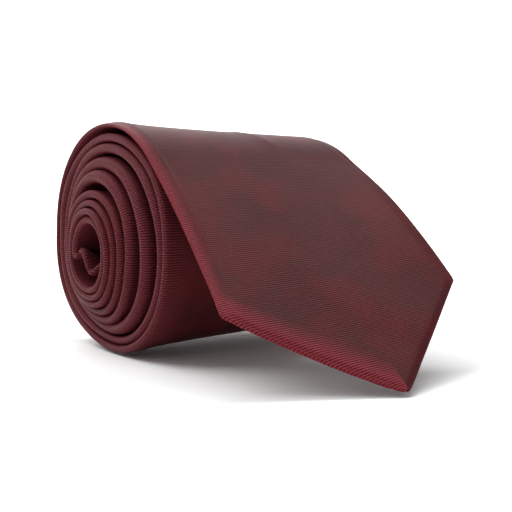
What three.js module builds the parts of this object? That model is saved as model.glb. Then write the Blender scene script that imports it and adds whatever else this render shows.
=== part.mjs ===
// A silk necktie, rolled up from its narrow tail, with the wide blade hanging off the roll.
//
// The cloth is one long strip. Its middle line is worked out once, as a list of stations that run
// from the point of the blade, up the flap, round the roll and into the core. Every piece of the tie
// is then swept along its own stretch of those stations, at its own depth in the strip.
//
// Frame: X runs along the roll (across the cloth) and the flush end of the roll faces -X,
// Y runs from the blade's point towards the back of the roll, Z is up and the tie lies on Z = 0.
// All sizes are in millimetres.
import * as THREE from "three";

// The strip's outline
const BLADE_WIDTH = 88;
const BLADE_POINT_LENGTH = 39;
const TAPER = 0.055;
const NECK_WIDTH = 40;
const TAIL_WIDTH = 43;
const TAIL_FLARE_LENGTH = 260;
const TAIL_POINT_LENGTH = 17;
const BLUNT_POINT_WIDTH = 2.4;

// Where the three sewn lengths of the shell meet, measured from the blade's point
const BLADE_SEAM_AT = 720;
const TAIL_SEAM_AT = 1020;

// Thicknesses of the cloths, and the air between two cloths that lie on each other
const SHELL_THICKNESS = 0.35;
const LINING_THICKNESS = 0.7;
const TIPPING_THICKNESS = 0.25;
const THREAD_THICKNESS = 0.3;
const LABEL_THICKNESS = 0.3;
const CLOTH_GAP = 0.3;

// The folded back of the strip
const HEM_WIDTH = 11;
const OPEN_PAST_HINGE = 8.7;
const TAIL_OPEN_LENGTH = 62;
const SEAM_HALF_GAP = 0.45;
const LINING_END_GAP = 4;
const TIPPING_OVERLAP = 14;
const THINNING_LENGTH = 14;

// The flap
const FLAP_STRAIGHT = 70;
const FLAP_SKEW = 0.05;
const LANDING_HEIGHT = 1.4;
const HINGE_BEFORE_TOP = 6;

// The innermost turn, measured from the middle of the core to the strip's middle line
const CORE = { top: 10.9, back: 8.9, bottom: 11, front: 11.3 };
// The slack that each turn leaves over the next turn in, listed from the core outwards
const SLACK = {
  top: [0.5, 0.3, 0.7, 3.7, 2.2, 2.6, 1.2, 1.7],
  back: [0.4, 0.4, 0.1, 0.1, 0.1, 1, 1.6, 1.8],
  bottom: [0.4, 0.1, 0.7, 1.3, 0.9, 1, 1.1],
  front: [0.4, 0.1, 1, 2, 6.4, 9.4, 1.7, 0.5],
};
const LAYER_GAP = 0.35;
const TELESCOPE = 4.6;
const WINDING_STOPS_AT = 8.26;
// Under the roll's weight its outer turn lies flat, from this many turns to just past the bottom
const REST_STARTS_AT = 0.455;
// The tail folds across the core: shares of the core's half depth and half height
const TAIL_FOLD = [
  [0.8, -0.36],
  [0.52, -0.46],
  [0.2, -0.42],
  [-0.12, -0.28],
  [-0.45, -0.14],
  [-0.8, -0.06],
];

// How finely the middle line is cut into straight steps
const STEPS_PER_TURN = 20;
const FLAP_STEPS = 3;
const ARC_STEPS = 4;
const FOLD_STEPS = 12;

// Small pieces on the back of the blade. The care label is placed by its distance from the blade's
// point, and the other two by their distance from where the back seam opens.
const CARE_LABEL = { start: 56, length: 22, width: 18 };
const LABEL = { pastOpening: 4, length: 15, width: 40 };
const KEEPER = { pastOpening: 24, length: 14, width: 48, height: 1.1, leg: 1.2 };
const BAR_TACK = { length: 1.6, width: 9 };
const KEEPER_TACK = { length: 11, width: 1.2 };

const BASE_THICKNESS = 2 * SHELL_THICKNESS + LINING_THICKNESS + 2 * CLOTH_GAP;
const TIPPING_DEPTH = TIPPING_THICKNESS + CLOTH_GAP;
const PITCH = BASE_THICKNESS + LAYER_GAP;
const TAIL_TIPPING_LENGTH = TAIL_OPEN_LENGTH + TIPPING_OVERLAP;

const smooth = (t) => t * t * (3 - 2 * t);
const share = (value, low, high) => THREE.MathUtils.clamp((value - low) / (high - low), 0, 1);
const mix = THREE.MathUtils.lerp;

// ---- The roll ---------------------------------------------------------------------------

// One side of each turn, as distances from the middle of the core, the outermost turn first.
function sideOfTurns(side) {
  const distances = [CORE[side]];
  for (const slack of SLACK[side]) {
    distances.unshift(distances[0] + PITCH + slack);
  }
  return distances;
}

const SIDES = {
  top: sideOfTurns("top"),
  back: sideOfTurns("back"),
  bottom: sideOfTurns("bottom"),
  front: sideOfTurns("front"),
};
const FIRST_AT = { top: 0, back: 0.25, bottom: 0.5, front: -0.25 };
const CORE_Z = SIDES.bottom[0] + BASE_THICKNESS / 2;
const TURNS = SLACK.top.length;

// How far one side of the strip lies from the middle of the core after some turns.
function reach(side, turns) {
  const distances = SIDES[side];
  const place = THREE.MathUtils.clamp(turns - FIRST_AT[side], 0, distances.length - 1);
  const before = Math.min(Math.floor(place), distances.length - 2);
  return mix(distances[before], distances[before + 1], smooth(place - before));
}

// The strip's middle line in the roll: an ellipse that shrinks, and wanders, towards the core.
function rollPoint(turns) {
  const [top, back, bottom, front] = Object.keys(SIDES).map((side) => reach(side, turns));
  const angle = 2 * Math.PI * turns;
  return new THREE.Vector2(
    (back - front) / 2 + ((back + front) / 2) * Math.sin(angle),
    CORE_Z + (top - bottom) / 2 + ((top + bottom) / 2) * Math.cos(angle),
  );
}

// The value between low and high where a rising test first fails.
function bisect(low, high, isBelow) {
  let [from, to] = [low, high];
  for (let i = 0; i < 40; i++) {
    const middle = (from + to) / 2;
    if (isBelow(middle)) from = middle;
    else to = middle;
  }
  return from;
}

// The place before the top of the roll where its outline has this slope and the flap leaves it.
function departure(slope) {
  const step = 1e-4;
  const slopeAt = (turns) => {
    const along = rollPoint(turns + step).sub(rollPoint(turns - step));
    return Math.atan2(along.y, along.x);
  };
  return bisect(-0.24, -0.001, (turns) => slopeAt(turns) > slope);
}

// A point of the straight flap, at a distance below the place where it leaves the roll.
function flapPoint(distance, slope) {
  const down = new THREE.Vector2(-Math.cos(slope), -Math.sin(slope));
  return rollPoint(departure(slope)).addScaledVector(down, distance);
}

// The flap's slope puts the blade's point on what the tie lies on.
const FLAP_LENGTH = FLAP_STRAIGHT + BLADE_POINT_LENGTH;
const SLOPE = bisect(0.2, 1.2, (slope) => flapPoint(FLAP_LENGTH, slope).y > LANDING_HEIGHT);

// ---- Stations along the strip -----------------------------------------------------------

// The strip's middle line from the blade's point to the tail's: flap, arc over the top, turns, fold.
function middleLine() {
  const points = [flapPoint(FLAP_LENGTH, SLOPE)];
  for (let i = FLAP_STEPS; i > 0; i--) {
    points.push(flapPoint((FLAP_STRAIGHT * i) / FLAP_STEPS, SLOPE));
  }
  const leaves = departure(SLOPE);
  for (let i = ARC_STEPS; i > 0; i--) {
    points.push(rollPoint((leaves * i) / ARC_STEPS));
  }
  const rollStart = points.length;
  for (let i = 0.5; i / STEPS_PER_TURN < WINDING_STOPS_AT; i++) {
    points.push(rollPoint(i / STEPS_PER_TURN));
  }
  const pastBottom = rollStart + STEPS_PER_TURN / 2;
  points[pastBottom - 1] = new THREE.Vector2(rollPoint(REST_STARTS_AT).x, points[pastBottom].y);
  const foldPoints = TAIL_FOLD.map(
    ([depth, height]) => new THREE.Vector2(depth * CORE.back, CORE_Z + height * CORE.bottom),
  );
  const fold = new THREE.SplineCurve([rollPoint(WINDING_STOPS_AT), ...foldPoints]);
  points.push(...fold.getSpacedPoints(FOLD_STEPS));
  return { points, rollStart };
}

const { points: linePoints, rollStart } = middleLine();

// Each station knows its distance from the blade's point, its outward normal and its turn.
const stations = [];
for (const [i, point] of linePoints.entries()) {
  const before = linePoints[Math.max(i - 1, 0)];
  const after = linePoints[Math.min(i + 1, linePoints.length - 1)];
  const along = after.clone().sub(before).normalize();
  stations.push({
    point,
    normal: new THREE.Vector2(-along.y, along.x),
    length: i === 0 ? 0 : stations[i - 1].length + point.distanceTo(before),
    turns: Math.max(0, (i - rollStart + 0.5) / STEPS_PER_TURN),
  });
}
const TIE_LENGTH = stations.at(-1).length;
const HINGE_AT = stations[rollStart].length - HINGE_BEFORE_TOP;
const BLADE_OPEN_UNTIL = HINGE_AT + OPEN_PAST_HINGE;
const TIPPING_END = BLADE_OPEN_UNTIL + TIPPING_OVERLAP;
const LABEL_START = BLADE_OPEN_UNTIL + LABEL.pastOpening;
const KEEPER_START = BLADE_OPEN_UNTIL + KEEPER.pastOpening;

// The station at a distance from the blade's point, made between two of the list if need be.
function stationAt(length) {
  const after = Math.max(1, stations.findIndex((station) => station.length >= length));
  const [a, b] = [stations[after - 1], stations[after]];
  const t = share(length, a.length, b.length);
  return {
    point: a.point.clone().lerp(b.point, t),
    normal: a.normal.clone().lerp(b.normal, t).normalize(),
    length,
    turns: mix(a.turns, b.turns, t),
  };
}

function stationsBetween(from, to) {
  const clearOfEnds = 0.8;
  const inside = stations.filter(
    (station) => station.length > from + clearOfEnds && station.length < to - clearOfEnds,
  );
  return [stationAt(from), ...inside, stationAt(to)];
}

// ---- The strip's width, thickness and place across the roll -----------------------------

// The width between the two long sides, as if they ran on past the points.
function sidesWidth(length) {
  const tapered = BLADE_WIDTH - TAPER * Math.max(0, length - BLADE_POINT_LENGTH);
  const flare = 1 - share(TIE_LENGTH - length, TAIL_POINT_LENGTH, TAIL_FLARE_LENGTH);
  return Math.max(tapered, mix(NECK_WIDTH, TAIL_WIDTH, flare));
}

function stripWidth(length) {
  const bladePoint = (BLADE_WIDTH * length) / BLADE_POINT_LENGTH;
  const tailPoint = (TAIL_WIDTH * (TIE_LENGTH - length)) / TAIL_POINT_LENGTH;
  return Math.min(bladePoint, sidesWidth(length), tailPoint);
}

// The strip is thicker where a tipping lies in it, at both ends.
function stripThickness(length) {
  const pastBladeTipping = share(length, TIPPING_END, TIPPING_END + THINNING_LENGTH);
  const pastTailTipping = share(TIE_LENGTH - length, TAIL_TIPPING_LENGTH, TAIL_TIPPING_LENGTH + THINNING_LENGTH);
  return BASE_THICKNESS + TIPPING_DEPTH * (1 - Math.min(pastBladeTipping, pastTailTipping));
}

// X of the strip's edge at the flush end: the flap strays a little and the core stands proud.
function nearEdge({ length, turns }) {
  const pointInset = (sidesWidth(length) - stripWidth(length)) / 2;
  const strays = FLAP_SKEW * Math.max(0, FLAP_LENGTH - length);
  const proud = TELESCOPE * smooth(share(turns, 1.5, TURNS - 0.5));
  return -BLADE_WIDTH / 2 - strays - proud + pointInset;
}

// A point of the strip: across is measured from its near edge, outward from its middle line.
function place(station, across, outward) {
  const { point, normal } = station;
  return [nearEdge(station) + across, point.x + outward * normal.x, point.y + outward * normal.y];
}

// ---- Sweeping ---------------------------------------------------------------------------

// An outline filled with triangles that run round the same way as the outline does.
function capOf(outline) {
  const contour = outline.map(([across, outward]) => new THREE.Vector2(across, outward));
  const { isClockWise, triangulateShape } = THREE.ShapeUtils;
  return triangulateShape(contour, []).map((face) => {
    const sameWay = isClockWise(face.map((index) => contour[index])) === isClockWise(contour);
    return sameWay ? face : face.toReversed();
  });
}

// A closed solid through one outline per station. Each outline lists [across, outward] points.
function sweep(from, to, outlineAt) {
  const along = stationsBetween(from, to);
  const outlines = along.map((station) => outlineAt(station.length));
  const count = outlines[0].length;
  const vertices = outlines.flatMap((outline, i) => outline.map(([across, out]) => place(along[i], across, out)));
  const faces = [];
  for (let i = 0; i + 1 < along.length; i++) {
    for (let j = 0; j < count; j++) {
      const next = (j + 1) % count;
      const [a, b, c, d] = [i * count + j, i * count + next, (i + 1) * count + next, (i + 1) * count + j];
      faces.push([a, b, c], [a, c, d]);
    }
  }
  const end = (along.length - 1) * count;
  faces.push(...capOf(outlines[0]).map(([a, b, c]) => [c, b, a]));
  faces.push(...capOf(outlines.at(-1)).map(([a, b, c]) => [a + end, b + end, c + end]));
  return { vertices, faces };
}

function geometryOf({ vertices, faces }) {
  const positions = faces.flat().flatMap((index) => vertices[index]);
  const geometry = new THREE.BufferGeometry();
  geometry.setAttribute("position", new THREE.Float32BufferAttribute(positions, 3));
  geometry.computeVertexNormals();
  return geometry;
}

// A rectangle in the strip's outline, turned the way that makes a sweep's faces point out.
const rectangle = (left, right, low, high) => [
  [left, high],
  [right, high],
  [right, low],
  [left, low],
];

// How wide each folded-back wing of the shell is: only a hem where the back stands open.
function wingWidth(length) {
  const whole = stripWidth(length) / 2 - SEAM_HALF_GAP;
  const closedBlade = share(length, BLADE_POINT_LENGTH, BLADE_OPEN_UNTIL);
  const closedTail = share(TIE_LENGTH - length, TAIL_POINT_LENGTH, TAIL_OPEN_LENGTH);
  return Math.min(whole, mix(HEM_WIDTH, whole, smooth(Math.min(closedBlade, closedTail))));
}

// The shell wraps the strip like a flattened C that is open along the middle of its back.
function shellOutline(length) {
  const width = stripWidth(length);
  const wing = wingWidth(length);
  const half = stripThickness(length) / 2;
  const inner = half - SHELL_THICKNESS;
  return [
    [0, half],
    [width, half],
    [width, -half],
    [width - wing, -half],
    [width - wing, -inner],
    [width - SHELL_THICKNESS, -inner],
    [width - SHELL_THICKNESS, inner],
    [SHELL_THICKNESS, inner],
    [SHELL_THICKNESS, -inner],
    [wing, -inner],
    [wing, -half],
    [0, -half],
  ];
}

// A flat cloth inside the shell, some way below the shell's inner face.
function innerOutline(length, depth, thickness) {
  const side = SHELL_THICKNESS + CLOTH_GAP;
  const high = stripThickness(length) / 2 - SHELL_THICKNESS - CLOTH_GAP - depth;
  return rectangle(side, stripWidth(length) - side, high - thickness, high);
}

const liningOutline = (length) => innerOutline(length, 0, LINING_THICKNESS);
const tippingOutline = (length) => innerOutline(length, LINING_THICKNESS + CLOTH_GAP, TIPPING_THICKNESS);

// A flat piece that lies against the outside of the strip's back, centred on its width.
function backOutline(length, width, thickness) {
  const middle = stripWidth(length) / 2;
  const high = -stripThickness(length) / 2 - CLOTH_GAP;
  return rectangle(middle - width / 2, middle + width / 2, high - thickness, high);
}

const backPatch = (start, size, width, thickness) =>
  sweep(start, start + size, (length) => backOutline(length, width, thickness));

// ---- The pieces -------------------------------------------------------------------------

const halfGap = CLOTH_GAP / 2;
const bladeStart = (BLUNT_POINT_WIDTH / BLADE_WIDTH) * BLADE_POINT_LENGTH;
const tailEnd = TIE_LENGTH - (BLUNT_POINT_WIDTH / TAIL_WIDTH) * TAIL_POINT_LENGTH;
const tailOpensAt = TIE_LENGTH - TAIL_OPEN_LENGTH;

const shellBetween = (from, to) => geometryOf(sweep(from, to, shellOutline));
const liningBetween = (from, to) => geometryOf(sweep(from, to, liningOutline));
const tippingBetween = (from, to) => geometryOf(sweep(from, to, tippingOutline));

// The thread that closes the back lies in the seam between the two wings.
function slipStitchThread() {
  const outline = (length) => {
    const middle = stripWidth(length) / 2;
    const low = -stripThickness(length) / 2;
    return rectangle(middle - THREAD_THICKNESS / 2, middle + THREAD_THICKNESS / 2, low, low + THREAD_THICKNESS);
  };
  return geometryOf(sweep(BLADE_OPEN_UNTIL, tailOpensAt, outline));
}

// The keeper bridges the back of the blade on two short legs, and the tail slips under it.
function keeperLoop() {
  const outline = (length) => {
    const left = (stripWidth(length) - KEEPER.width) / 2;
    const right = left + KEEPER.width;
    const high = -stripThickness(length) / 2 - CLOTH_GAP;
    const low = high - KEEPER.height;
    return [
      [left, high],
      [left + KEEPER.leg, high],
      [left + KEEPER.leg, low + SHELL_THICKNESS],
      [right - KEEPER.leg, low + SHELL_THICKNESS],
      [right - KEEPER.leg, high],
      [right, high],
      [right, low],
      [left, low],
    ];
  };
  return geometryOf(sweep(KEEPER_START, KEEPER_START + KEEPER.length, outline));
}

// A short tack beside each end of the keeper holds it down.
function keeperTack(side) {
  const offset = side * (KEEPER.width / 2 + CLOTH_GAP + KEEPER_TACK.width / 2);
  const start = KEEPER_START + (KEEPER.length - KEEPER_TACK.length) / 2;
  const outline = (length) => {
    const middle = stripWidth(length) / 2 + offset;
    const high = -stripThickness(length) / 2 - CLOTH_GAP;
    const half = KEEPER_TACK.width / 2;
    return rectangle(middle - half, middle + half, high - THREAD_THICKNESS, high);
  };
  return geometryOf(sweep(start, start + KEEPER_TACK.length, outline));
}

const barTack = (start) => geometryOf(backPatch(start, BAR_TACK.length, BAR_TACK.width, THREAD_THICKNESS));

// The care label lies on the tipping, in the open V of the blade's back.
function careLabel() {
  const outline = (length) => {
    const middle = stripWidth(length) / 2;
    const high = -stripThickness(length) / 2 + SHELL_THICKNESS;
    return rectangle(
      middle - CARE_LABEL.width / 2,
      middle + CARE_LABEL.width / 2,
      high - LABEL_THICKNESS,
      high,
    );
  };
  return geometryOf(sweep(CARE_LABEL.start, CARE_LABEL.start + CARE_LABEL.length, outline));
}

// ---- Materials --------------------------------------------------------------------------

const silk = (color) => new THREE.MeshStandardMaterial({ color, roughness: 0.55, metalness: 0 });
const wool = new THREE.MeshStandardMaterial({ color: 0xd9d0bf, roughness: 0.95, metalness: 0 });
const satin = new THREE.MeshStandardMaterial({ color: 0x4a2327, roughness: 0.4, metalness: 0 });
const thread = new THREE.MeshStandardMaterial({ color: 0x6b2630, roughness: 0.6, metalness: 0 });
const labelCloth = new THREE.MeshStandardMaterial({ color: 0x2a1a1c, roughness: 0.5, metalness: 0 });
const careCloth = new THREE.MeshStandardMaterial({ color: 0xe8e4dc, roughness: 0.6, metalness: 0 });

// ---- The tie ----------------------------------------------------------------------------

const tie = new THREE.Group();

function add(name, geometry, material) {
  const mesh = new THREE.Mesh(geometry, material);
  mesh.name = name;
  tie.add(mesh);
}

add("blade_shell_flap", shellBetween(bladeStart, HINGE_AT - halfGap), silk(0x6a2c33));
add("blade_shell_roll", shellBetween(HINGE_AT + halfGap, BLADE_SEAM_AT - halfGap), silk(0x6f2e36));
add("neck_shell", shellBetween(BLADE_SEAM_AT + halfGap, TAIL_SEAM_AT - halfGap), silk(0x702f37));
add("tail_shell", shellBetween(TAIL_SEAM_AT + halfGap, tailEnd), silk(0x6d2d35));
add("interlining_flap", liningBetween(LINING_END_GAP, HINGE_AT - halfGap), wool);
add("interlining_roll", liningBetween(HINGE_AT + halfGap, TIE_LENGTH - LINING_END_GAP), wool);
add("blade_tipping_flap", tippingBetween(LINING_END_GAP, HINGE_AT - halfGap), satin);
add("blade_tipping_roll", tippingBetween(HINGE_AT + halfGap, TIPPING_END), satin);
add("tail_tipping", tippingBetween(TIE_LENGTH - TAIL_TIPPING_LENGTH, TIE_LENGTH - LINING_END_GAP), satin);
add("slip_stitch_thread", slipStitchThread(), thread);
add("blade_bar_tack", barTack(BLADE_OPEN_UNTIL), thread);
add("tail_bar_tack", barTack(tailOpensAt - BAR_TACK.length), thread);
add("keeper_loop", keeperLoop(), silk(0x68292f));
add("keeper_near_tack", keeperTack(-1), thread);
add("keeper_far_tack", keeperTack(1), thread);
add("blank_label", geometryOf(backPatch(LABEL_START, LABEL.length, LABEL.width, LABEL_THICKNESS)), labelCloth);
add("care_label", careLabel(), careCloth);

// The frame's origin is the middle of the tie's box, on the face that it lies on.
const box = new THREE.Box3().setFromObject(tie);
const middle = box.getCenter(new THREE.Vector3());
tie.position.set(-middle.x, -middle.y, -box.min.z);

export default tie;
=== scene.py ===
"""A silk necktie, rolled up from its narrow tail, with the wide blade lying off the roll.

The tie is one long folded strip. Its middle line is worked out once, at the flush near end and again
at the smaller far end, and every cloth of the tie is swept along its own stretch of that line, at its
own depth in the strip. Sizes are in millimetres until a mesh is made, which is in metres.

Lengths are measured along the strip from the blade's point, and turns from the top of the roll inwards.
A pair named SPAN says where a change begins and where it is complete.
"""

import math

import bpy
import numpy as np
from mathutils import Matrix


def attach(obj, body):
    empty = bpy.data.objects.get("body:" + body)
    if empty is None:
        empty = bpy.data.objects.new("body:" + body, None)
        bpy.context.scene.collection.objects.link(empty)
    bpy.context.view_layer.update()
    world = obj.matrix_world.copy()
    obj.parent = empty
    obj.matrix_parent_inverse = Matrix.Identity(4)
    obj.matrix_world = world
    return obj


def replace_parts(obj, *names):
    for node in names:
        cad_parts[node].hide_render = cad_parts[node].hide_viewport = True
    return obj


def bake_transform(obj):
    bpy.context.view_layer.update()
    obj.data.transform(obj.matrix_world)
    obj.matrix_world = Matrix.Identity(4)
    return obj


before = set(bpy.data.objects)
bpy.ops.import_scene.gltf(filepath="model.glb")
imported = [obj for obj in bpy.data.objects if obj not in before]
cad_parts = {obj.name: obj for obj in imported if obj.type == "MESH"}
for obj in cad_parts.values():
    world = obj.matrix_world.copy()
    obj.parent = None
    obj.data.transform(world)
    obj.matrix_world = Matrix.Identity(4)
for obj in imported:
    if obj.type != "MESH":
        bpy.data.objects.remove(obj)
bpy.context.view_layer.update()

MM = 0.001

# ---- Sizes of the strip, as the tie is cut and sewn --------------------------------------------

BLADE_WIDTH = 88
BLADE_POINT_LENGTH = 39
TAPER = 0.055
NECK_WIDTH = 40
TAIL_WIDTH = 43
TAIL_FLARE_LENGTH = 260
TAIL_POINT_LENGTH = 17
BLUNT_POINT_WIDTH = 2.4
BLADE_SEAM_AT = 720
TAIL_SEAM_AT = 1020
HEM_WIDTH = 11
HALF_SEAM_GAP = 0.3
BLADE_OPEN_UNTIL = 148
TAIL_OPEN_LENGTH = 62

SHELL_THICKNESS = 0.4
LINING_THICKNESS = 0.7
TIPPING_THICKNESS = 0.25
CLOTH_GAP = 0.12
HALF_THICKNESS = 1.0
TIPPED_EXTRA = 0.22
TIPPING_END = 162
TAIL_TIPPING_LENGTH = 76
TIPPING_EASE = 14
POINT_CLEARANCE = 5

# ---- The small parts on the back ----------------------------------------------------------------

LABEL_START, LABEL_LENGTH, LABEL_WIDTH, LABEL_THICKNESS = 152, 15, 40, 0.3
CARE_START, CARE_LENGTH, CARE_WIDTH, CARE_THICKNESS = 56, 22, 18, 0.22
CARE_DEPTH = 0.34
KEEPER_START, KEEPER_LENGTH, KEEPER_WIDTH, KEEPER_THICKNESS = 172, 14, 48, 0.42
KEEPER_GAP, KEEPER_RISE, KEEPER_STEEPNESS = 0.1, 1.0, 2.2

STITCH_LENGTH, STITCH_SLANT, STITCH_STEEPNESS = 4.5, 0.35, 3
STITCH_RADIUS, STITCH_DEPTH = 0.15, 0.02
TACK_STRANDS, TACK_SPACING, TACK_INSET, TACK_HALF_WIDTH, TACK_LENGTH = 8, 0.19, 0.15, 4.5, 1.6
TACK_RADIUS, TACK_DEPTH, TACK_ARCH = 0.14, 0.24, 0.05
KEEPER_STRANDS, KEEPER_STRAND_SPACING, KEEPER_STRAND_INSET, KEEPER_STRAND_OUTSIDE = 6, 0.2, 1.5, 0.3
KEEPER_STRAND_RADIUS, KEEPER_STRAND_DEPTH = 0.12, 0.2

# ---- How it is rolled ---------------------------------------------------------------------------

# From the middle of the core to each side of the innermost turn, and what each turn outside it adds
# to the pitch.
CORE = {"top": 10.9, "back": 8.9, "bottom": 13, "front": 13.2}
SLACK = {
    "top": [0.5, 0.3, 0.7, 3.7, 2.2, 2.6, 1.2, 1.7],
    "back": [0.4, 0.4, 0.1, 0.1, 0.1, 1, 1.6, 1.8],
    "bottom": [0.1, 0, 0.1, 0.3, 0.3, 1.1, 0.5],
    "front": [0.4, 0.1, 1, 2, 6.4, 7.5, 1.7, 0.5],
}
PITCH = 2.35
FIRST_AT = {"top": 0, "back": 0.25, "bottom": 0.5, "front": -0.25}
WINDING_STOPS_AT = 8.26
CORE_MIDDLE = (44.86, 33.49)
NEAR_END_X = -39.95

# Below the core the turns lean toward the flap and bulge at the back, most where they reach furthest down.
LEAN = 4.0
FULL_BACK = 6.5
LEAN_SPAN = (5, 33)

# The inner turns stand proud of the near end, and the folded edges wander in two waves, each with its
# size, its rate along the strip and its shift.
TELESCOPE = 4.6
TELESCOPE_SPAN = (1.5, 7.5)
EDGE_WANDER = [(0.3, 0.037, 1.1), (0.2, 0.13, 0)]
WANDER_SPAN = (0.1, 0.6)

# The tail lies loose in the core: its folds, as Y and Z from the core's middle, and its curled near edge.
TAIL_FOLD = [
    (6.2, -3), (2.8, -5.8), (0.2, -7.9), (-2.6, -8.2), (-4.8, -6.2), (-4.7, -3), (-6, -0.4), (-8.4, 0.8),
    (-10.3, -0.6), (-10.6, -3.2), (-9.6, -5.6),
]
TAIL_CURL = 6.5
TAIL_CURL_DEPTH = 7
TAIL_CURL_SPAN = (0.02, 0.5)

# The roll is a little smaller at its far end, and the flap lies less steeply there.
ROLL_AXIS = (36.76, 38.5)
FAR_SIZE = 0.865
CONE_FROM_X = -35
CONE_LENGTH = 83
NARROWS_EARLY = 0.68
NEAR_SLOPE = math.radians(40.1)
FAR_SLOPE = math.radians(33.4)

# The flap strays toward the near side, sags in the middle, bows up at its far side and has soft dents,
# from two crossing waves, each with its rate along the strip and across it.
FLAP_STRAIGHT = 68
FLAP_LENGTH = FLAP_STRAIGHT + BLADE_POINT_LENGTH
CORNER_STRAY = 4.8
POINT_STRAY = 1
FLAP_SAG = 1.0
FAR_BOW = 1.7
BOW_WIDTH_SPAN = (0.45, 1)
BOW_DOWN_SPAN = (0, 0.7)
BOW_STEEPENS = 1.5
BOW_FULL_EARLY = 0.75
FLAP_DENT = 0.5
DENT_WAVES = [(0.11, 5), (0.03, 7)]

# A soft crease crosses the top of the roll, between two places given as a length and a share of the width.
CREASE_FROM = (133, 0.60)
CREASE_TO = (119, 0.62)
CREASE_HEIGHT = 0.7
CREASE_WIDTH = 0.022
CREASE_FADE_BEFORE = 8
CREASE_FADE_AFTER = 5

# The flap's middle line comes to rest this far above what the tie lies on, and eases into it.
RESTING_HEIGHT = 1.3
EASING = 1.0

# Where the flap's cloths end and the roll's begin, along the strip.
FLAP_CLOTH_END = 165

# ---- The folded edges ---------------------------------------------------------------------------

# Edges are pressed thin on the flap, and spring open where the turns leave them room.
PRESSED_SPAN = (-0.16, 0.3)
PRESSED_THINNER = 0.72
EDGE_PLUMPER = 0.12
OUTER_PLUMPER = 0.25
OUTER_SPAN = (0.3, 0.7)
LOOSE_SPAN = (0.9, 1.3)
TIGHT_SPAN = (6, 7)
SPRING = 0.42
MOST_ROOM = 3.2
FOLD_DEEPER_AT_POINT = 0.3
FOLD_DEEPER_ON_SIDES = 1.8
FOLD_DEEPER_SPAN = (BLADE_POINT_LENGTH - 3, BLADE_POINT_LENGTH + 9)
SWELL_REACH = 1.4
SWELL_SPREAD = 1.6
MOST_OF_WIDTH = 0.42
MOST_OF_WING = 0.9
LINING_SIDE_ROOM = 0.7
LINING_PRESSED_ROOM = 3.4

# How far in from an edge the red weft shows as a painted sheen.
SHEEN_NEAR_SIDE = 2.9
SHEEN_AT_POINT = 11
SHEEN_POINT_SPAN = (BLADE_POINT_LENGTH - 2, BLADE_POINT_LENGTH + 8)
SHEEN_FAR_SIDE = 0.02
SHEEN_IN_ROLL = 8

# ---- How finely the shapes are divided ----------------------------------------------------------

FLAP_POINTS, SHOULDER_POINTS, POINTS_PER_TURN, TAIL_POINTS = 110, 40, 150, 30
FINE, COARSE, SMALL = 1.5, 3.0, 1.0
END_RING = 0.05
FOLD_POINTS = 11
WING_COLUMNS = 6
PANEL_COLUMNS = [0.008, 0.016, 0.026, 0.04, *np.linspace(0.06, 0.94, 21), 0.96, 0.974, 0.984, 0.992]
SLAB_COLUMNS = 10
SLAB_SHOULDER = 0.2
KEEPER_COLUMNS = 33
THREAD_SIDES = 8
STRAND_POINTS = 14
WALL_BEND_POINTS = 16


def smooth(t):
    return t * t * (3 - 2 * t)


def share(value, low, high):
    return np.clip((value - low) / (high - low), 0, 1)


def mix(a, b, t):
    return a + (b - a) * t


# ---- The middle line ----------------------------------------------------------------------------

def side_of_turns(side):
    """One side of each turn, as distances from the middle of the core, the outermost turn first."""
    distances = [CORE[side]]
    for slack in SLACK[side]:
        distances.insert(0, distances[0] + PITCH + slack)
    return np.array(distances)


SIDES = {side: side_of_turns(side) for side in CORE}


def reach(side, turns):
    distances = SIDES[side]
    at = np.clip(turns - FIRST_AT[side], 0, len(distances) - 1)
    before = np.minimum(np.floor(at).astype(int), len(distances) - 2)
    return mix(distances[before], distances[before + 1], smooth(at - before))


def roll_point(turns):
    """The strip's middle line in the roll, as Y and Z, after some turns from the top."""
    turns = np.asarray(turns, float)
    top, back, bottom, front = (reach(side, turns) for side in ("top", "back", "bottom", "front"))
    angle = 2 * math.pi * turns
    low = np.maximum(0, -np.cos(angle))
    bulge = FULL_BACK * low * np.maximum(0, np.sin(angle)) - LEAN * low**2
    y = (back - front) / 2 + (back + front) / 2 * np.sin(angle) + bulge * share(bottom, *LEAN_SPAN)
    z = (top - bottom) / 2 + (top + bottom) / 2 * np.cos(angle)
    return np.stack([CORE_MIDDLE[0] + y, CORE_MIDDLE[1] + z], -1)


def at_far_end(points):
    axis = np.array(ROLL_AXIS)
    return axis + FAR_SIZE * (points - axis)


def departure(slope):
    """The place before the top of the roll where its outline has this slope and the flap leaves it."""
    low, high = -0.24, -0.001
    small, halvings = 1e-4, 40
    for _ in range(halvings):
        middle = (low + high) / 2
        along = roll_point(middle + small) - roll_point(middle - small)
        if math.atan2(along[1], along[0]) > slope:
            low = middle
        else:
            high = middle
    return low


def flap_line(distance, slope, far):
    """Points of the flap, at distances below the place where it leaves the roll."""
    start = roll_point(departure(slope))
    start = at_far_end(start) if far else start
    down = np.array([-math.cos(slope), -math.sin(slope)])
    return start + np.asarray(distance)[:, None] * down


def spline_through(points, count, steps=20):
    """A smooth line through some points, evenly spaced."""
    points = np.array(points)
    padded = np.vstack([2 * points[0] - points[1], points, 2 * points[-1] - points[-2]])
    fine = []
    for p0, p1, p2, p3 in zip(padded, padded[1:], padded[2:], padded[3:]):
        t = np.linspace(0, 1, steps, endpoint=False)[:, None]
        fine.append(0.5 * (2 * p1 + (p2 - p0) * t + (2 * p0 - 5 * p1 + 4 * p2 - p3) * t**2
                           + (3 * p1 - p0 - 3 * p2 + p3) * t**3))
    fine = np.vstack([*fine, points[-1:]])
    length = np.concatenate([[0], np.cumsum(np.linalg.norm(np.diff(fine, axis=0), axis=1))])
    even = np.linspace(0, length[-1], count)
    return np.stack([np.interp(even, length, fine[:, 0]), np.interp(even, length, fine[:, 1])], -1)


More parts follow.
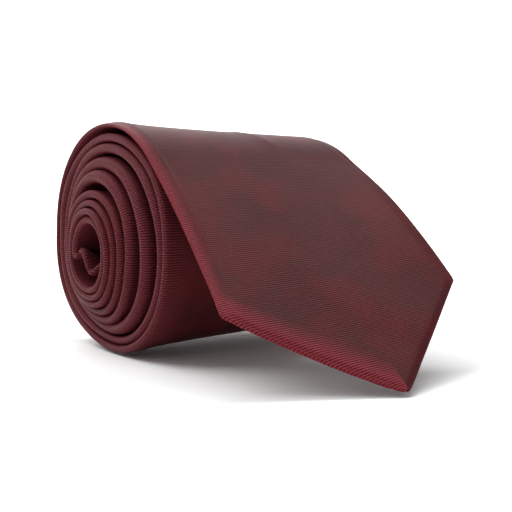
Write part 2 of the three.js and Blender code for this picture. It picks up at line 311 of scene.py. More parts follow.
def middle_line():
    """The strip's middle line at the near and far ends, from the blade's point to the tail's."""
    below = np.linspace(FLAP_LENGTH, 0, FLAP_POINTS)
    shoulder = np.linspace(1, 0, SHOULDER_POINTS)[1:-1]
    winding = np.arange(0, WINDING_STOPS_AT, 1 / POINTS_PER_TURN)
    fold = [(CORE_MIDDLE[0] + y, CORE_MIDDLE[1] + z) for y, z in TAIL_FOLD]
    fold = spline_through([roll_point(WINDING_STOPS_AT), *fold], TAIL_POINTS)
    near_leaves, far_leaves = departure(NEAR_SLOPE), departure(FAR_SLOPE)
    near = [flap_line(below, NEAR_SLOPE, False), roll_point(shoulder * near_leaves),
            roll_point(winding), fold]
    far = [flap_line(below, FAR_SLOPE, True), at_far_end(roll_point(shoulder * far_leaves)),
           at_far_end(roll_point(winding)), at_far_end(fold)]
    turns = [np.full(len(below), near_leaves), shoulder * near_leaves, winding,
             np.full(len(fold), WINDING_STOPS_AT)]
    return np.vstack(near), np.vstack(far), np.concatenate(turns)


LINE_NEAR, LINE_FAR, LINE_TURNS = middle_line()


def normals_of(points):
    along = np.gradient(points, axis=0)
    along /= np.linalg.norm(along, axis=1)[:, None]
    return np.stack([-along[:, 1], along[:, 0]], -1)


NORMAL_NEAR, NORMAL_FAR = normals_of(LINE_NEAR), normals_of(LINE_FAR)
LINE_LENGTH = np.concatenate([[0], np.cumsum(np.linalg.norm(np.diff(LINE_NEAR, axis=0), axis=1))])
TIE_LENGTH = float(LINE_LENGTH[-1])
TAIL_LOOSE_AT = float(LINE_LENGTH[np.argmax(LINE_TURNS >= WINDING_STOPS_AT - 1e-6)])


def along_line(values, lengths):
    """Values of the line, such as its points, at some distances from the blade's point."""
    values = values.reshape(len(LINE_LENGTH), -1)
    return np.stack([np.interp(lengths, LINE_LENGTH, column) for column in values.T], -1)


def turns_at(lengths):
    return np.interp(lengths, LINE_LENGTH, LINE_TURNS)


# ---- Width, thickness and place across the roll -------------------------------------------------

def sides_width(lengths):
    tapered = BLADE_WIDTH - TAPER * np.maximum(0, lengths - BLADE_POINT_LENGTH)
    flare = 1 - share(TIE_LENGTH - lengths, TAIL_POINT_LENGTH, TAIL_FLARE_LENGTH)
    return np.maximum(tapered, mix(NECK_WIDTH, TAIL_WIDTH, flare))


def strip_width(lengths):
    blade_point = BLADE_WIDTH * lengths / BLADE_POINT_LENGTH
    tail_point = TAIL_WIDTH * (TIE_LENGTH - lengths) / TAIL_POINT_LENGTH
    return np.minimum(np.minimum(blade_point, sides_width(lengths)), tail_point)


def half_thickness(lengths):
    """Half the strip's thickness: thicker where a tipping lies in it."""
    past_blade = share(lengths, TIPPING_END, TIPPING_END + TIPPING_EASE)
    before_tail = share(TIE_LENGTH - lengths, TAIL_TIPPING_LENGTH, TAIL_TIPPING_LENGTH + TIPPING_EASE)
    return HALF_THICKNESS + TIPPED_EXTRA * (1 - np.minimum(past_blade, before_tail))


def near_edge(lengths):
    """X of the strip's edge at the flush end."""
    turns = turns_at(lengths)
    inset = (sides_width(lengths) - strip_width(lengths)) / 2
    below = FLAP_LENGTH - lengths
    strays = CORNER_STRAY * share(below, 0, FLAP_STRAIGHT) ** 2
    strays = strays + POINT_STRAY * share(below, FLAP_STRAIGHT, FLAP_LENGTH)
    proud = TELESCOPE * smooth(share(turns, *TELESCOPE_SPAN))
    wander = sum(size * np.sin(lengths * rate + shift) for size, rate, shift in EDGE_WANDER)
    return NEAR_END_X - strays - proud + inset + wander * share(turns, *WANDER_SPAN)


def flap_lie(lengths, across_share):
    """How far the cloth stands off its line: a sag, a bow at the far side, soft dents and a crease."""
    down = share(FLAP_LENGTH - lengths, 0, FLAP_LENGTH)
    sag = FLAP_SAG * np.sin(math.pi * np.clip(across_share, 0, 1)) ** 2 * np.sin(math.pi * down) ** 2
    bow = FAR_BOW * share(across_share, *BOW_WIDTH_SPAN) ** BOW_STEEPENS
    bow = bow * np.sin(math.pi * share(down, *BOW_DOWN_SPAN) ** BOW_FULL_EARLY) ** 2
    dents = FLAP_DENT * smooth(down)
    for along_rate, across_rate in DENT_WAVES:
        dents = dents * np.sin(along_rate * lengths + across_rate * across_share)
    (start, start_share), (end, end_share) = CREASE_TO, CREASE_FROM
    off_crease = across_share - mix(start_share, end_share, share(lengths, start, end))
    begun = share(lengths, start - CREASE_FADE_BEFORE, start)
    ended = share(lengths, end, end + CREASE_FADE_AFTER)
    crease = CREASE_HEIGHT * begun * (1 - ended) * np.exp(-(off_crease / CREASE_WIDTH) ** 2)
    return bow - sag - dents + crease


def on_table(heights):
    """Heights of the strip's middle, eased so that its underside stays on what the tie lies on."""
    clear = heights - RESTING_HEIGHT
    return RESTING_HEIGHT + (clear + np.sqrt(clear**2 + EASING**2)) / 2


def tail_curl(lengths):
    """How far the near edge of the tail curls up where it first leaves the wound strip."""
    after = share(lengths, TAIL_LOOSE_AT, TIE_LENGTH)
    return TAIL_CURL * np.sin(math.pi * share(after, *TAIL_CURL_SPAN)) ** 2


def place(lengths, across, outward):
    """Points of the strip. across is measured from its near edge, outward from its middle line."""
    x = near_edge(lengths)[:, None] + across
    early = mix(1, NARROWS_EARLY, smooth(share(lengths, BLADE_POINT_LENGTH, FLAP_LENGTH)))[:, None]
    toward_far = (share(x, CONE_FROM_X, CONE_FROM_X + CONE_LENGTH) ** early)[..., None]
    lines = (LINE_NEAR, LINE_FAR, NORMAL_NEAR, NORMAL_FAR)
    near, far, normal_near, normal_far = (along_line(line, lengths)[:, None] for line in lines)
    normal = mix(normal_near, normal_far, toward_far)
    normal /= np.linalg.norm(normal, axis=-1, keepdims=True)
    sides = sides_width(lengths)[:, None]
    across_share = (across + (sides - strip_width(lengths)[:, None]) / 2) / sides
    middle = mix(near, far, toward_far) + flap_lie(lengths[:, None], across_share)[..., None] * normal
    middle[..., 1] = np.where(lengths[:, None] < FLAP_LENGTH, on_table(middle[..., 1]), middle[..., 1])
    middle[..., 1] += tail_curl(lengths)[:, None] * np.exp(-(across / TAIL_CURL_DEPTH) ** 2)
    return np.concatenate([x[..., None], middle + outward[..., None] * normal], -1)


# ---- Meshes -------------------------------------------------------------------------------------

def encloses(vertices, faces):
    """The space inside some faces, negative where they face inwards."""
    total = 0.0
    for face in faces:
        first = vertices[face[0]]
        for b, c in zip(face[1:], face[2:]):
            total += np.dot(first, np.cross(vertices[b], vertices[c]))
    return total / 6


def new_piece(name, vertices, faces, material, body, attributes=None):
    vertices = np.asarray(vertices).reshape(-1, 3) * MM
    if encloses(vertices, faces) < 0:
        faces = [face[::-1] for face in faces]
    mesh = bpy.data.meshes.new(name)
    mesh.from_pydata(vertices.tolist(), [], faces)
    mesh.materials.append(material)
    for key, values in (attributes or {}).items():
        layer = mesh.attributes.new(key, "FLOAT", "POINT")
        layer.data.foreach_set("value", np.asarray(values, np.float32).ravel())
    mesh.shade_smooth()
    mesh.update()
    piece = bpy.data.objects.new(name, mesh)
    bpy.context.scene.collection.objects.link(piece)
    if body:
        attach(piece, body)
    return piece


def loop_faces(rings, count, cap_pairs):
    """Quads between rings of points, and a cap at each end that joins each point to its partner."""
    faces = []
    for i in range(rings - 1):
        for j in range(count):
            k = (j + 1) % count
            faces.append((i * count + j, i * count + k, (i + 1) * count + k, (i + 1) * count + j))
    last = (rings - 1) * count
    for a, b in zip(cap_pairs, cap_pairs[1:]):
        faces.append((a[0], a[1], b[1], b[0]))
        faces.append(tuple(last + v for v in (b[0], b[1], a[1], a[0])))
    return faces


def pressed(lengths):
    """1 on the flap, whose edges are pressed, and 0 in the roll."""
    return 1 - smooth(share(turns_at(lengths), *PRESSED_SPAN))


def fold_sheen_reach(lengths, across_share):
    """How far the painted sheen of the red weft reaches in from a folded edge. It reaches least at the
    flap's far side.
    """
    rolled = 1 - pressed(lengths)
    at_point = 1 - smooth(share(lengths, *SHEEN_POINT_SPAN))
    near = mix(mix(SHEEN_NEAR_SIDE, SHEEN_AT_POINT, at_point), SHEEN_IN_ROLL, rolled)
    far = mix(SHEEN_FAR_SIDE, SHEEN_IN_ROLL, rolled)
    return np.where(across_share < 0.5, near, far)


def steps_between(start, end, spacing):
    return np.linspace(start, end, max(2, round((end - start) / spacing) + 1))


def sweep(name, lengths, outline, material, body):
    """A closed piece through one outline per length. The outline is a loop whose second half runs back."""
    start, end = lengths[:1], lengths[-1:]
    lengths = np.concatenate([start, start + END_RING, lengths[1:-1], end - END_RING, end])
    across, outward = outline(lengths)
    count = across.shape[1]
    pairs = [(j, count - 1 - j) for j in range(count // 2)]
    vertices = place(lengths, across, outward)
    width = strip_width(lengths)[:, None]
    attributes = {
        "along": np.broadcast_to(lengths[:, None], across.shape) * MM,
        "across": (across - width / 2) * MM,
        "from_edge": np.minimum(across, width - across) * MM,
        # How far in from the edges the painted sheen of the red weft reaches.
        "sheen_reach": fold_sheen_reach(lengths[:, None], across / width) * MM,
    }
    faces = loop_faces(len(lengths), count, pairs)
    return new_piece(name, vertices, faces, material, body, attributes)


def wing_width(lengths):
    """How wide each folded-back wing of the shell is: only a hem where the back stands open."""
    whole = strip_width(lengths) / 2 - HALF_SEAM_GAP
    closed_blade = share(lengths, BLADE_POINT_LENGTH, BLADE_OPEN_UNTIL)
    closed_tail = share(TIE_LENGTH - lengths, TAIL_POINT_LENGTH, TAIL_OPEN_LENGTH)
    opening = smooth(np.minimum(closed_blade, closed_tail))
    return np.minimum(whole, mix(HEM_WIDTH, whole, opening))


def free_room(turns):
    """The narrower of the gaps that a turn of the roll leaves to the turns inside and outside it."""
    inside, here, outside = (np.linalg.norm(roll_point(at) - CORE_MIDDLE, axis=-1)
                             for at in (turns + 1, turns, turns - 1))
    return np.maximum(0, np.minimum(here - inside, outside - here) - PITCH)


def plump(lengths):
    """Half the thickness of the soft folded edges: thin on the flap, and springing open in loose turns."""
    turns = turns_at(lengths)
    loose = share(turns, *LOOSE_SPAN)
    fuller = SPRING * np.minimum(free_room(turns), MOST_ROOM) * loose * (1 - share(turns, *TIGHT_SPAN))
    outermost = OUTER_PLUMPER * share(turns, *OUTER_SPAN) * (1 - loose)
    return half_thickness(lengths) + EDGE_PLUMPER + fuller + outermost - PRESSED_THINNER * pressed(lengths)


def folded_shell(lengths):
    """The strip's folded shell: back wing, near fold, front, far fold, back wing, then back inside."""
    width, wing = strip_width(lengths), wing_width(lengths)
    deeper = mix(FOLD_DEEPER_AT_POINT, FOLD_DEEPER_ON_SIDES, share(lengths, *FOLD_DEEPER_SPAN))
    radius = np.minimum(plump(lengths) + deeper * pressed(lengths), width * MOST_OF_WIDTH)
    edge = np.minimum(plump(lengths), radius)
    flat = half_thickness(lengths)
    falls_over = SWELL_REACH + SWELL_SPREAD * np.maximum(0, edge - flat)

    def swell(at):
        """Half the thickness across the strip: the fold's own beside a fold, and flat away from it."""
        past_fold = np.maximum(0, np.minimum(at, width - at) - radius)
        return mix(np.minimum(flat, width * MOST_OF_WIDTH), edge, np.exp(-(past_fold / falls_over) ** 2))

    angles = np.radians(np.linspace(-90, -270, FOLD_POINTS))
    wing_ends = np.minimum(radius, wing * MOST_OF_WING)
    wings = [mix(wing, wing_ends, t) for t in np.arange(WING_COLUMNS) / WING_COLUMNS]
    panel = [mix(radius, width - radius, t) for t in PANEL_COLUMNS]
    rows = []
    for depth in (0.0, SHELL_THICKNESS):
        fold = [(radius + (radius - depth) * math.cos(a), (edge - depth) * math.sin(a)) for a in angles]
        near = [(at, depth - swell(at)) for at in wings] + fold
        middle = [(at, swell(at) - depth) for at in panel]
        far = [(width - at, out) for at, out in reversed(near)]
        rows.append(near + middle + far)
    loop = rows[0] + rows[1][::-1]
    across = np.stack([np.broadcast_to(at, lengths.shape) for at, _ in loop], 1)
    outward = np.stack([np.broadcast_to(out, lengths.shape) for _, out in loop], 1)
    return across, outward


def slab(left, right, low, high):
    """A flat cloth between two edges and two depths, all as functions of the length."""
    def outline(lengths):
        a, b, lo, hi = (np.broadcast_to(edge(lengths), lengths.shape) for edge in (left, right, low, high))
        rounding = np.minimum((hi - lo) / 2, (b - a) / 4)
        middle, shoulder = (lo + hi) / 2, (hi - lo) * SLAB_SHOULDER
        top = [(mix(a, b, t), hi) for t in np.linspace(0, 1, SLAB_COLUMNS)]
        top[0] = (a + rounding, hi)
        top[-1] = (b - rounding, hi)
        under = [(at, lo) for at, _ in reversed(top)]
        loop = [(a, middle + shoulder), *top, (b, middle + shoulder),
                (b, middle - shoulder), *under, (a, middle - shoulder)]
        return np.stack([at for at, _ in loop], 1), np.stack([out for _, out in loop], 1)
    return outline


def inner_cloth(depth, thickness):
    """A cloth that fills the fold from side to side, some way below the shell's inner face."""
    def side(lengths):
        room = SHELL_THICKNESS + LINING_SIDE_ROOM + LINING_PRESSED_ROOM * pressed(lengths)
        return np.minimum(room, strip_width(lengths) * MOST_OF_WIDTH)

    def high(lengths):
        return half_thickness(lengths) - SHELL_THICKNESS - CLOTH_GAP - depth

    return slab(side, lambda lengths: strip_width(lengths) - side(lengths),
                lambda lengths: high(lengths) - thickness, high)


def centred(width, thickness, high):
    """A flat piece centred on the strip's width, with its upper face at some depth."""
    return slab(lambda lengths: (strip_width(lengths) - width) / 2,
                lambda lengths: (strip_width(lengths) + width) / 2,
                lambda lengths: high(lengths) - thickness, high)


def thread_along(name, points, radius, material, body):
    """A closed round thread through some points."""
    points = np.asarray(points, float)
    along = np.gradient(points, axis=0)
    along /= np.linalg.norm(along, axis=1)[:, None]
    side = np.cross(along, np.where(abs(along[:, :1]) < 0.9, [[1.0, 0, 0]], [[0, 0, 1.0]]))
    side /= np.linalg.norm(side, axis=1)[:, None]
    other = np.cross(along, side)
    angles = np.linspace(0, 2 * math.pi, THREAD_SIDES, endpoint=False)[None, :, None]
    vertices = points[:, None] + radius * (np.cos(angles) * side[:, None] + np.sin(angles) * other[:, None])
    pairs = [(j, THREAD_SIDES - 1 - j) for j in range(THREAD_SIDES // 2)]
    faces = loop_faces(len(points), THREAD_SIDES, pairs)
    return new_piece(name, vertices, faces, material, body)


# ---- Finishes -----------------------------------------------------------------------------------

class Value:
    """A number that varies over a surface. Arithmetic on it adds Math nodes."""

    def __init__(self, finish, socket):
        self.finish, self.socket = finish, socket

    def math(self, operation, *others, clamp=False):
        sockets = dict(enumerate((self, *others)))
        settings = {"operation": operation, "use_clamp": clamp}
        return self.finish.value("ShaderNodeMath", settings, sockets, 0)

    def __add__(self, other):
        return self.math("ADD", other)

    __radd__ = __add__

    def __mul__(self, other):
        return self.math("MULTIPLY", other)

    __rmul__ = __mul__

    def __sub__(self, other):
        return self.math("SUBTRACT", other)

    def __rsub__(self, other):
        return (self * -1) + other

    def __truediv__(self, other):
        return self.math("DIVIDE", other)

    def sin(self):
        return self.math("SINE")

    def floor(self):
        return self.math("FLOOR")

    def power(self, exponent):
        return self.math("POWER", exponent)

    def between(self, low, high):
        """0 at low, 1 at high, with soft ends."""
        settings = {"interpolation_type": "SMOOTHSTEP"}
        sockets = {"Value": self, "From Min": low, "From Max": high}
        return self.finish.value("ShaderNodeMapRange", settings, sockets, "Result")


class Finish:
    """A material made of nodes."""

    def __init__(self, name):
        self.material = bpy.data.materials.new(name)
        self.material.use_nodes = True
        self.tree = self.material.node_tree
        self.tree.nodes.clear()

    def node(self, kind, settings=None, sockets=None):
        node = self.tree.nodes.new(kind)
        for key, setting in (settings or {}).items():
            setattr(node, key, setting)
        for key, given in (sockets or {}).items():
            if isinstance(given, Value):
                given = given.socket
            if isinstance(given, bpy.types.NodeSocket):
                self.tree.links.new(given, node.inputs[key])
            else:
                node.inputs[key].default_value = given
        return node

    def value(self, kind, settings, sockets, output):
        return Value(self, self.node(kind, settings, sockets).outputs[output])

    def carried(self, name):
        return self.value("ShaderNodeAttribute", {"attribute_name": name}, {}, "Fac")

    def vector(self, x, y, z=0.0):
        return self.node("ShaderNodeCombineXYZ", None, {"X": x, "Y": y, "Z": z}).outputs["Vector"]

    def noise(self, vector, scale, detail=2.0):
        sockets = {"Vector": vector, "Scale": scale, "Detail": detail}
        return self.value("ShaderNodeTexNoise", {}, sockets, "Fac")

    def mixed(self, factor, a, b, way="MIX"):
        settings = {"data_type": "RGBA", "blend_type": way}
        return self.node("ShaderNodeMix", settings, {0: factor, 6: a, 7: b}).outputs[2]

    def bump(self, height, distance):
        sockets = {"Height": height, "Distance": distance, "Strength": 1.0}
        return self.node("ShaderNodeBump", None, sockets).outputs["Normal"]

    def surface(self, sockets):
        shader = self.node("ShaderNodeBsdfPrincipled", None, sockets)
        self.node("ShaderNodeOutputMaterial", None, {"Surface": shader.outputs["BSDF"]})
        return self.material


def color(red, green, blue):
    return (red, green, blue, 1.0)


TURN = 2 * math.pi
RIB = 0.8 * MM
YARN = 0.62 * MM
WOOL_YARN = 1.1 * MM
TAPE_WEFT = 0.35 * MM
TAPE_WARP = 0.28 * MM


def shot_silk():
    """Dark brown warp over bright red weft, in fine ribs across the cloth; redder along the folds, where a
    sheen of the red weft is painted into the colour.
    """
    red_brown, plain_brown = color(0.088, 0.011, 0.013), color(0.062, 0.0105, 0.0115)
    grey_brown = color(0.052, 0.013, 0.016)
    # The painted sheen of the red weft along the folds: a shaded colour for the roll and a lit one for the
    # flap.
    shaded_roll_sheen, lit_flap_sheen = color(0.108, 0.018, 0.023), color(0.190, 0.021, 0.030)
    finish = Finish("shot_silk")
    carried = ("along", "across", "from_edge", "sheen_reach")
    along, across, from_edge, sheen_reach = (finish.carried(key) for key in carried)
    rib_count = along / RIB
    ribs = (rib_count * TURN).sin() * 0.5 + 0.5
    dashes = (across * (TURN / YARN) + rib_count.floor() * 2.1).sin() * 0.5 + 0.5
    on_cloth = finish.vector(across, along)
    on_flap = 1 - along.between(110 * MM, 150 * MM)

    # Broad cloudy patches of the warp, and a painted sheen of the red weft along the folds, darker in the
    # roll than on the flap as painted shade.
    cloud = finish.noise(on_cloth, scale=42, detail=3)
    patch = finish.noise(finish.vector(across * 1.4, along * 0.8, 3.1), scale=28, detail=1)
    uneven = finish.noise(on_cloth, scale=160) * 0.3 + 0.85
    fold = 1 - (from_edge / (sheen_reach * uneven)).between(0.15, 1.55)
    ground = finish.mixed(cloud.between(0.38, 0.62), plain_brown, red_brown)
    ground = finish.mixed(patch.between(0.45, 0.7) * 0.55, ground, grey_brown)
    weft = finish.mixed(on_flap, shaded_roll_sheen, lit_flap_sheen)
    ground = finish.mixed(fold * 0.85, ground, weft)

    # The single yarns: lighter and darker than the ground, partly the weave's own two tones and partly
    # painted glints on the ribs, which are strongest in the painted sheen along the folds and weaker on the
    # flap.
    speckle = finish.noise(finish.vector(across * 0.55, along), scale=2600)
    yarns = ribs.power(1.3) * (0.6 + dashes * 0.4)
    shown = (yarns - 0.4) * (0.14 + fold * (0.9 - on_flap * 0.3)) + (speckle - 0.5) * 0.8 + 0.36
    dark = finish.mixed(1.0, ground, color(0.45, 0.5, 0.5), "MULTIPLY")
    bright = finish.mixed(1.0, ground, color(2.2, 2.3, 2.3), "MULTIPLY")
    height = ribs * (0.72 + 0.28 * dashes) * (0.35 + 0.65 * fold)
    return finish.surface({
        "Base Color": finish.mixed(shown.math("MAXIMUM", 0.0, clamp=True), dark, bright),
        "Roughness": 0.43 - ribs * 0.06,
        "Normal": finish.bump(height, distance=0.12 * MM),
        "Specular IOR Level": 0.04,
    })


def satin():
    """Smooth dark lining with threads too fine to count."""
    finish = Finish("tipping_satin")
    along, across = finish.carried("along"), finish.carried("across")
    threads = finish.noise(finish.vector(across * 8, along * 0.7), scale=900)
    cloud = finish.noise(finish.vector(across, along), scale=60)
    base = finish.mixed(cloud, color(0.050, 0.012, 0.016), color(0.085, 0.018, 0.024))
    return finish.surface({
        "Base Color": base,
        "Roughness": 0.4 + threads * 0.14,
        "Normal": finish.bump(threads, distance=0.03 * MM),
        "Specular IOR Level": 0.3,
        "Sheen Weight": 0.02,
    })


def wool():
    """Brushed undyed interlining, a loose plain weave under short fuzz."""
    finish = Finish("interlining_wool")
    along, across = finish.carried("along"), finish.carried("across")
    weave = (along * (TURN / WOOL_YARN)).sin() * (across * (TURN / WOOL_YARN)).sin()
    fuzz = finish.noise(finish.vector(across, along), scale=1400, detail=4)
    base = finish.mixed(fuzz, color(0.50, 0.44, 0.35), color(0.68, 0.62, 0.52))
    return finish.surface({
        "Base Color": base,
        "Roughness": 0.95,
        "Normal": finish.bump(weave * 0.5 + fuzz, distance=0.25 * MM),
        "Sheen Weight": 0.4,
    })


def twisted_thread():
    """Two-ply silk thread."""
    finish = Finish("thread")
    place_in_space = finish.node("ShaderNodeTexCoord").outputs["Object"]
    waves = finish.value("ShaderNodeTexWave", {"bands_direction": "DIAGONAL"},
                         {"Vector": place_in_space, "Scale": 900.0, "Distortion": 0.6}, "Fac")
    base = finish.mixed(waves, color(0.12, 0.018, 0.028), color(0.24, 0.035, 0.055))
    return finish.surface({
        "Base Color": base,
        "Roughness": 0.5,
        "Normal": finish.bump(waves, distance=0.05 * MM),
        "Sheen Weight": 0.3,
    })


def woven_tape(name, dark, light):
    """A narrow woven tape with a smooth face, for a label."""
    finish = Finish(name)
    along, across = finish.carried("along"), finish.carried("across")
    weft = (along * (TURN / TAPE_WEFT)).sin() * 0.5 + 0.5
    warp = (across * (TURN / TAPE_WARP)).sin() * 0.5 + 0.5
    uneven = finish.noise(finish.vector(across, along), scale=300)
    base = finish.mixed(weft * 0.5 + uneven * 0.5, dark, light)
    return finish.surface({
        "Base Color": base,
        "Roughness": 0.55,
        "Normal": finish.bump(weft * (0.5 + 0.5 * warp), distance=0.05 * MM),
        "Sheen Weight": 0.2,
    })


# ---- The cloths ---------------------------------------------------------------------------------

silk, lining_wool, tipping_satin, thread = shot_silk(), wool(), satin(), twisted_thread()
label_tape = woven_tape("label_cloth", color(0.010, 0.005, 0.006), color(0.028, 0.014, 0.017))
care_tape = woven_tape("care_cloth", color(0.62, 0.59, 0.53), color(0.80, 0.77, 0.72))

BLADE_TIP = BLUNT_POINT_WIDTH / BLADE_WIDTH * BLADE_POINT_LENGTH
TAIL_TIP = TIE_LENGTH - BLUNT_POINT_WIDTH / TAIL_WIDTH * TAIL_POINT_LENGTH
TAIL_OPENS_AT = TIE_LENGTH - TAIL_OPEN_LENGTH
TAIL_LINING_END = TIE_LENGTH - POINT_CLEARANCE
TIPPING_DEPTH = LINING_THICKNESS + CLOTH_GAP


def bend_at_top(piece):
    """Bakes the piece's placement into its mesh."""
    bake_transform(piece)


def summed(lengths, widths):
    """The widest of some widths and their length, in metres, and the area that they cover."""
    size = (float(widths.max()) * MM, float(lengths[-1] - lengths[0]) * MM)
    return size, float((widths * np.gradient(lengths)).sum()) * MM * MM


def shell(name, start, end, body, node):
    """One length of the shell. Laid flat it is the front, both wings and the turn of both folds."""
    lengths = steps_between(start, end, FINE)
    piece = sweep(name, lengths, folded_shell, silk, body)
    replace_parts(piece, node)
    width = strip_width(lengths)
    wings = 2 * np.minimum(wing_width(lengths), width / 2)
    return piece


def lining(name, start, end, depth, thickness, material, slot, body, *nodes):
    """A cloth inside the fold. It is in one layer, a little narrower than the strip."""
    lengths = steps_between(start, end, COARSE)
    piece = sweep(name, lengths, inner_cloth(depth, thickness), material, body)
    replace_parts(piece, *nodes)
    side_room = 2 * (SHELL_THICKNESS + LINING_SIDE_ROOM)
    flat, area = summed(lengths, strip_width(lengths) - side_room)
    area = min(area, flat[0] * flat[1])
    return piece


bend_at_top(shell("blade_cloth_flap", BLADE_TIP, FLAP_CLOTH_END, None, "blade_shell_flap"))
shell("blade_cloth_roll", FLAP_CLOTH_END, BLADE_SEAM_AT, "roll", "blade_shell_roll")
shell("neck_cloth", BLADE_SEAM_AT, TAIL_SEAM_AT, "roll", "neck_shell")
shell("tail_cloth", TAIL_SEAM_AT, TAIL_TIP, "roll", "tail_shell")

bend_at_top(lining("interlining_in_flap", POINT_CLEARANCE, FLAP_CLOTH_END, 0, LINING_THICKNESS,
                   lining_wool, "interlining_wool", None, "interlining_flap"))
lining("interlining_in_roll", FLAP_CLOTH_END, TAIL_LOOSE_AT, 0, LINING_THICKNESS,
       lining_wool, "interlining_wool", "roll", "interlining_roll")
bend_at_top(lining("blade_tipping", POINT_CLEARANCE, TIPPING_END, TIPPING_DEPTH, TIPPING_THICKNESS,
                   tipping_satin, "tipping_satin", None, "blade_tipping_flap", "blade_tipping_roll"))
lining("tail_lining", TIE_LENGTH - TAIL_TIPPING_LENGTH, TAIL_LINING_END, TIPPING_DEPTH, TIPPING_THICKNESS,
       tipping_satin, "tipping_satin", "roll", "tail_tipping")


# ---- Threads, keeper and labels -----------------------------------------------------------------

def strip_points(lengths, across_from_middle, outward):
    """Points beside the middle of the strip, for a thread."""
    lengths = np.asarray(lengths, float)
    across = strip_width(lengths) / 2 + np.asarray(across_from_middle, float)
    outward = np.broadcast_to(outward, lengths.shape)
    return place(lengths, across[:, None], np.asarray(outward, float)[:, None])[:, 0]


def slip_stitch():
    """The one loose thread that closes the back, in long slanting stitches across the seam."""
    lengths = steps_between(BLADE_OPEN_UNTIL, TAIL_OPENS_AT, FINE)
    wave = np.sin(lengths * math.pi / STITCH_LENGTH)
    slant = STITCH_SLANT * np.sign(wave) * np.minimum(1, STITCH_STEEPNESS * abs(wave))
    points = strip_points(lengths, slant, -half_thickness(lengths) - STITCH_DEPTH)
    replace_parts(thread_along("slip_stitch", points, STITCH_RADIUS, thread, "roll"), "slip_stitch_thread")


def joined(name, strands, radius, node):
    """Several strands of thread made into one piece."""
    pieces = [thread_along(f"{name}_{i}", points, radius, thread, "roll")
              for i, points in enumerate(strands)]
    bpy.ops.object.select_all(action="DESELECT")
    for piece in pieces:
        piece.select_set(True)
    bpy.context.view_layer.objects.active = pieces[0]
    bpy.ops.object.join()
    pieces[0].name = name
    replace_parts(pieces[0], node)


def bar_tack(name, start, node):
    """A bar of close stitches side by side across the seam."""
    across = np.linspace(-TACK_HALF_WIDTH, TACK_HALF_WIDTH, STRAND_POINTS)
    arch = TACK_ARCH * np.cos(np.linspace(-math.pi, math.pi, STRAND_POINTS))
    strands = []
    for i in range(TACK_STRANDS):
        at = start + TACK_INSET + i * TACK_SPACING
        height = -half_thickness(np.array([at])) - TACK_DEPTH - arch
        strands.append(strip_points(np.full(STRAND_POINTS, at), across, height))
    joined(name, strands, TACK_RADIUS, node)


def keeper_outline(lengths):
    """A flat tube of the shell's cloth that bridges the back with a little room under it."""
    t = np.linspace(0, 1, KEEPER_COLUMNS)
    rise = KEEPER_RISE * np.minimum(1, np.sin(math.pi * t) * KEEPER_STEEPNESS)
    across = strip_width(lengths)[:, None] / 2 + (t - 0.5) * KEEPER_WIDTH
    upper = -half_thickness(lengths)[:, None] - KEEPER_GAP - rise
    lower = upper - KEEPER_THICKNESS
    return np.concatenate([across, across[:, ::-1]], 1), np.concatenate([upper, lower[:, ::-1]], 1)


def keeper_tack(name, side, node):
    """Stitches along one end of the keeper."""
    start, end = KEEPER_START + KEEPER_STRAND_INSET, KEEPER_START + KEEPER_LENGTH - KEEPER_STRAND_INSET
    lengths = np.linspace(start, end, STRAND_POINTS)
    strands = []
    for i in range(KEEPER_STRANDS):
        outside = KEEPER_STRAND_OUTSIDE + i * KEEPER_STRAND_SPACING
        across = np.full(STRAND_POINTS, side * (KEEPER_WIDTH / 2 + outside))
        strands.append(strip_points(lengths, across, -half_thickness(lengths) - KEEPER_STRAND_DEPTH))
    joined(name, strands, KEEPER_STRAND_RADIUS, node)


def small_part(name, start, length, outline, material, body, node):
    """A small flat piece, sewn or laid on the strip's back."""
    piece = sweep(name, steps_between(start, start + length, SMALL), outline, material, body)
    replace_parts(piece, node)
    return piece


slip_stitch()
bar_tack("blade_tack", BLADE_OPEN_UNTIL, "blade_bar_tack")
bar_tack("tail_tack", TAIL_OPENS_AT - TACK_LENGTH, "tail_bar_tack")
small_part("keeper", KEEPER_START, KEEPER_LENGTH, keeper_outline, silk, "roll",
           "keeper_loop")
keeper_tack("keeper_tack_near", -1, "keeper_near_tack")
keeper_tack("keeper_tack_far", 1, "keeper_far_tack")
label = centred(LABEL_WIDTH, LABEL_THICKNESS, lambda lengths: -half_thickness(lengths) - CLOTH_GAP)
small_part("plain_label", LABEL_START, LABEL_LENGTH, label, label_tape, "roll",
           "blank_label")
care = centred(CARE_WIDTH, CARE_THICKNESS, lambda lengths: -half_thickness(lengths) + CARE_DEPTH)
bend_at_top(small_part("care_tape", CARE_START, CARE_LENGTH, care, care_tape,
                       None, "care_label"))

# ---- Floor, light and camera --------------------------------------------------------------------

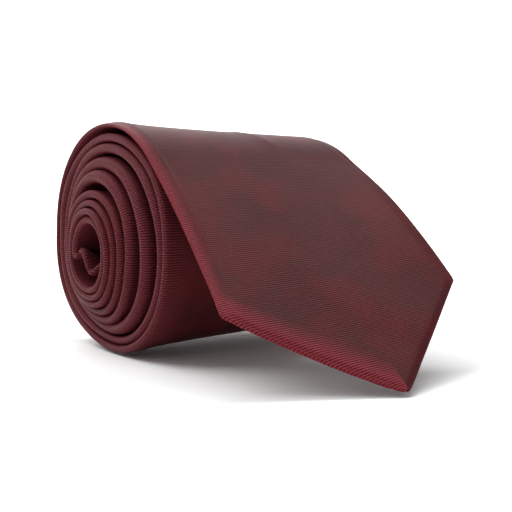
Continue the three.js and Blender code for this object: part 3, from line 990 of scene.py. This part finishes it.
def make_backdrop():
    """A pale table that curves up into a wall behind the tie."""
    finish = Finish("pale_backdrop")
    grain = finish.noise(finish.node("ShaderNodeTexCoord").outputs["Object"], scale=300, detail=3)
    base = finish.mixed(grain, color(0.90, 0.90, 0.90), color(0.93, 0.93, 0.93))
    material = finish.surface({"Base Color": base, "Roughness": 0.9, "Specular IOR Level": 0.1})
    half_width, front, bend_at, bend, wall_top, below = 4.0, -3.0, 2.2, 0.9, 4.0, 0.0002
    angles = np.linspace(0, math.pi / 2, WALL_BEND_POINTS)
    curve = [(bend_at + bend * math.sin(a), bend * (1 - math.cos(a))) for a in angles]
    profile = [(front, 0.0), *curve, (bend_at + bend, wall_top)]
    vertices = [(x, y, z - below) for y, z in profile for x in (-half_width, half_width)]
    faces = [(2 * i, 2 * i + 1, 2 * i + 3, 2 * i + 2) for i in range(len(profile) - 1)]
    mesh = bpy.data.meshes.new("floor")
    mesh.from_pydata(vertices, [], faces)
    mesh.shade_smooth()
    mesh.materials.append(material)
    floor = bpy.data.objects.new("floor", mesh)
    bpy.context.scene.collection.objects.link(floor)


def area_light(name, location, aim, size, power):
    """A round light that faces a point, in metres and watts."""
    data = bpy.data.lights.new(name, "AREA")
    data.shape, data.size, data.energy = "DISK", size, power
    light = bpy.data.objects.new(name, data)
    bpy.context.scene.collection.objects.link(light)
    light.location = location
    direction = np.array(aim, float) - np.array(location, float)
    yaw = math.atan2(direction[0], direction[1])
    pitch = math.atan2(direction[2], math.hypot(direction[0], direction[1]))
    light.rotation_euler = (math.pi / 2 + pitch, 0, -yaw)


def make_camera(location, down, right, lens):
    """A camera that looks along +Y, turned down and to the right by some degrees."""
    data = bpy.data.cameras.new("camera")
    data.sensor_width, data.lens = 36, lens
    camera = bpy.data.objects.new("camera", data)
    bpy.context.scene.collection.objects.link(camera)
    camera.location = location
    camera.rotation_euler = (math.radians(90 - down), 0, math.radians(-right))
    bpy.context.scene.camera = camera


def make_room_light(strength):
    """Even white light from all around."""
    world = bpy.data.worlds.new("soft_room")
    bpy.context.scene.world = world
    world.use_nodes = True
    background = world.node_tree.nodes["Background"]
    background.inputs["Color"].default_value = color(1, 1, 1)
    background.inputs["Strength"].default_value = strength


make_backdrop()
area_light("overhead", (-0.5, 0.6, 1.15), (0, 0, 0.04), size=1.3, power=16.5)
area_light("left_front", (-0.9, -0.35, 0.5), (0, 0, 0.04), size=0.6, power=0.3)
area_light("wall_wash", (1.0, 1.0, 2.6), (1.4, 3.0, 0.8), size=2.2, power=150)
make_camera((-0.2135, -0.3287, 0.06875), down=5.17, right=32.55, lens=84.5)
make_room_light(0.44)
bpy.context.scene.view_settings.view_transform = "Standard"
